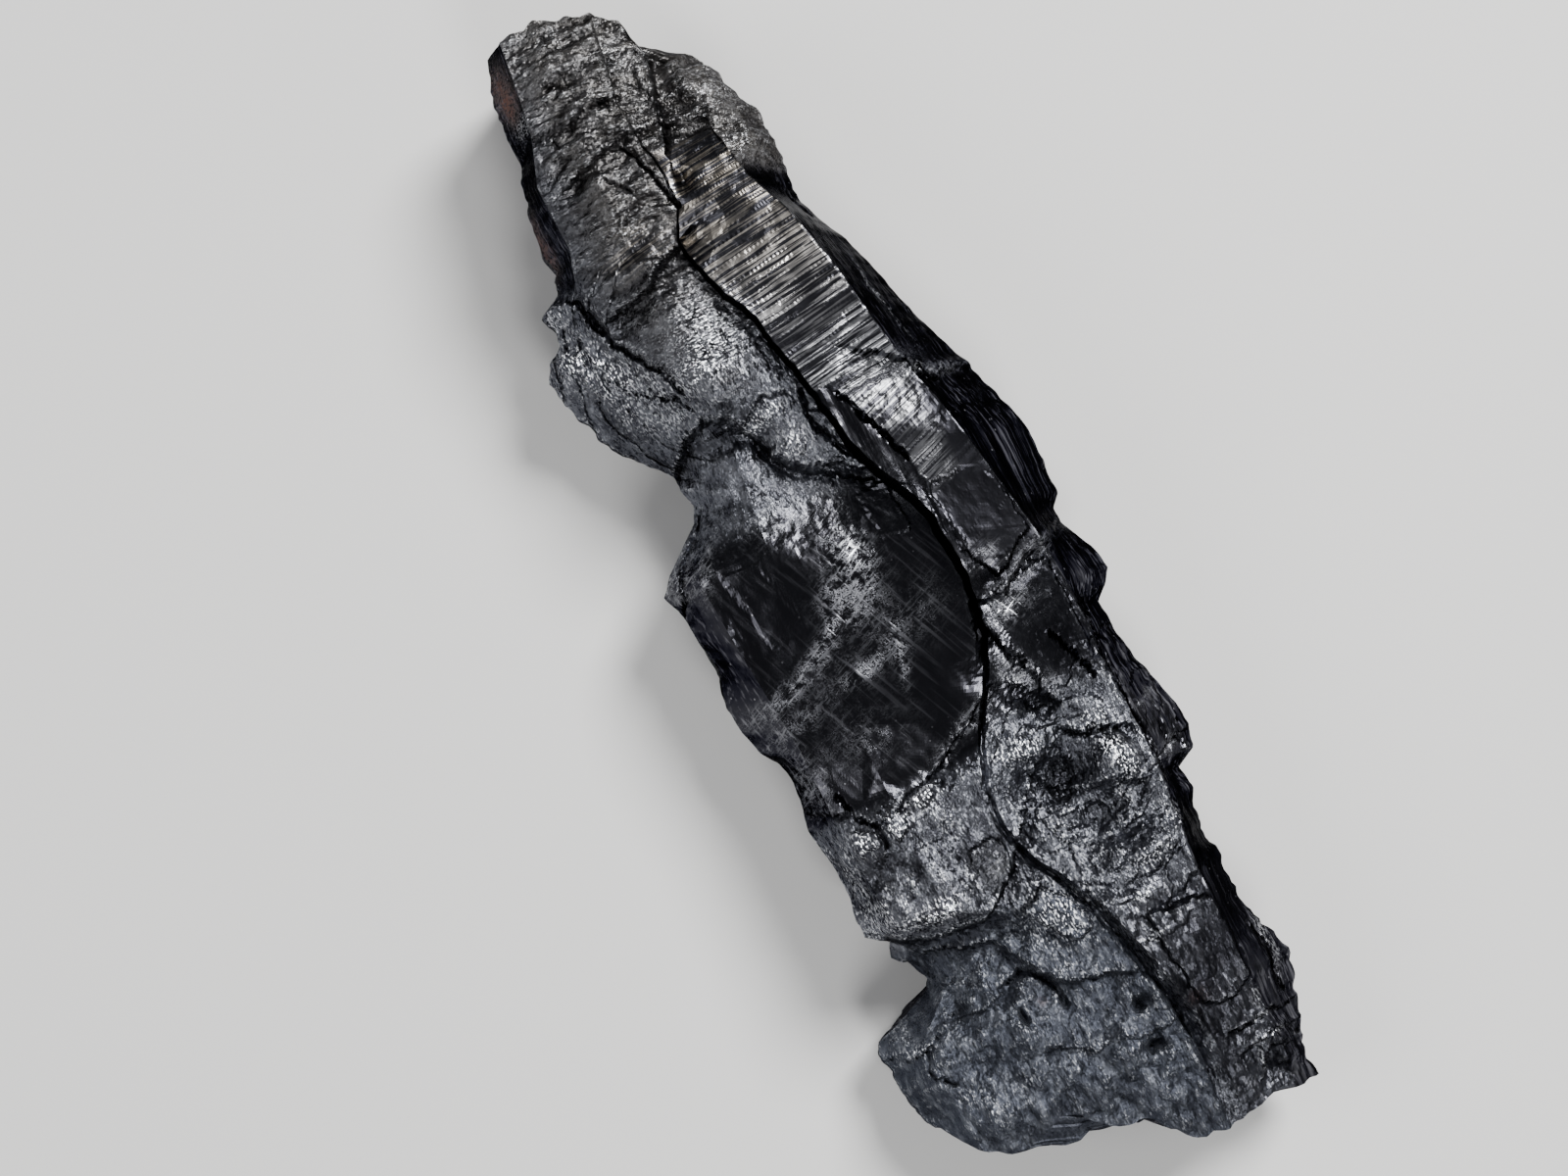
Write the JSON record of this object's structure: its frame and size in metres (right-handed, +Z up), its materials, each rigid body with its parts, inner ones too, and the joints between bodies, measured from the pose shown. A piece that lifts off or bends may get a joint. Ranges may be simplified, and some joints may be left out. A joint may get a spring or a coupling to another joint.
{
  "type": "stibnite crystal",
  "caption": "Broken, bladed stibnite crystal with a split down its front, striated and smooth cleavage faces and a granular foot, lying on its flat back face.",
  "frame": {"origin": "under the middle of the crystal, on the surface that its flat back face lies on", "axes": "+Y along the crystal from its broad foot to its tip, +Z up out of its front face, +X to the right seen from above with the tip away from the viewer"},
  "size_m": [0.0176, 0.0524, 0.0099],
  "materials": {
    "stibnite": "metallic lead-grey mineral: near-black mirror-like cleavage faces, silvery striations, dull bluish granular breaks"
  },
  "bodies": {
    "root": {"crystal": "stibnite"}
  },
  "joints": []
}
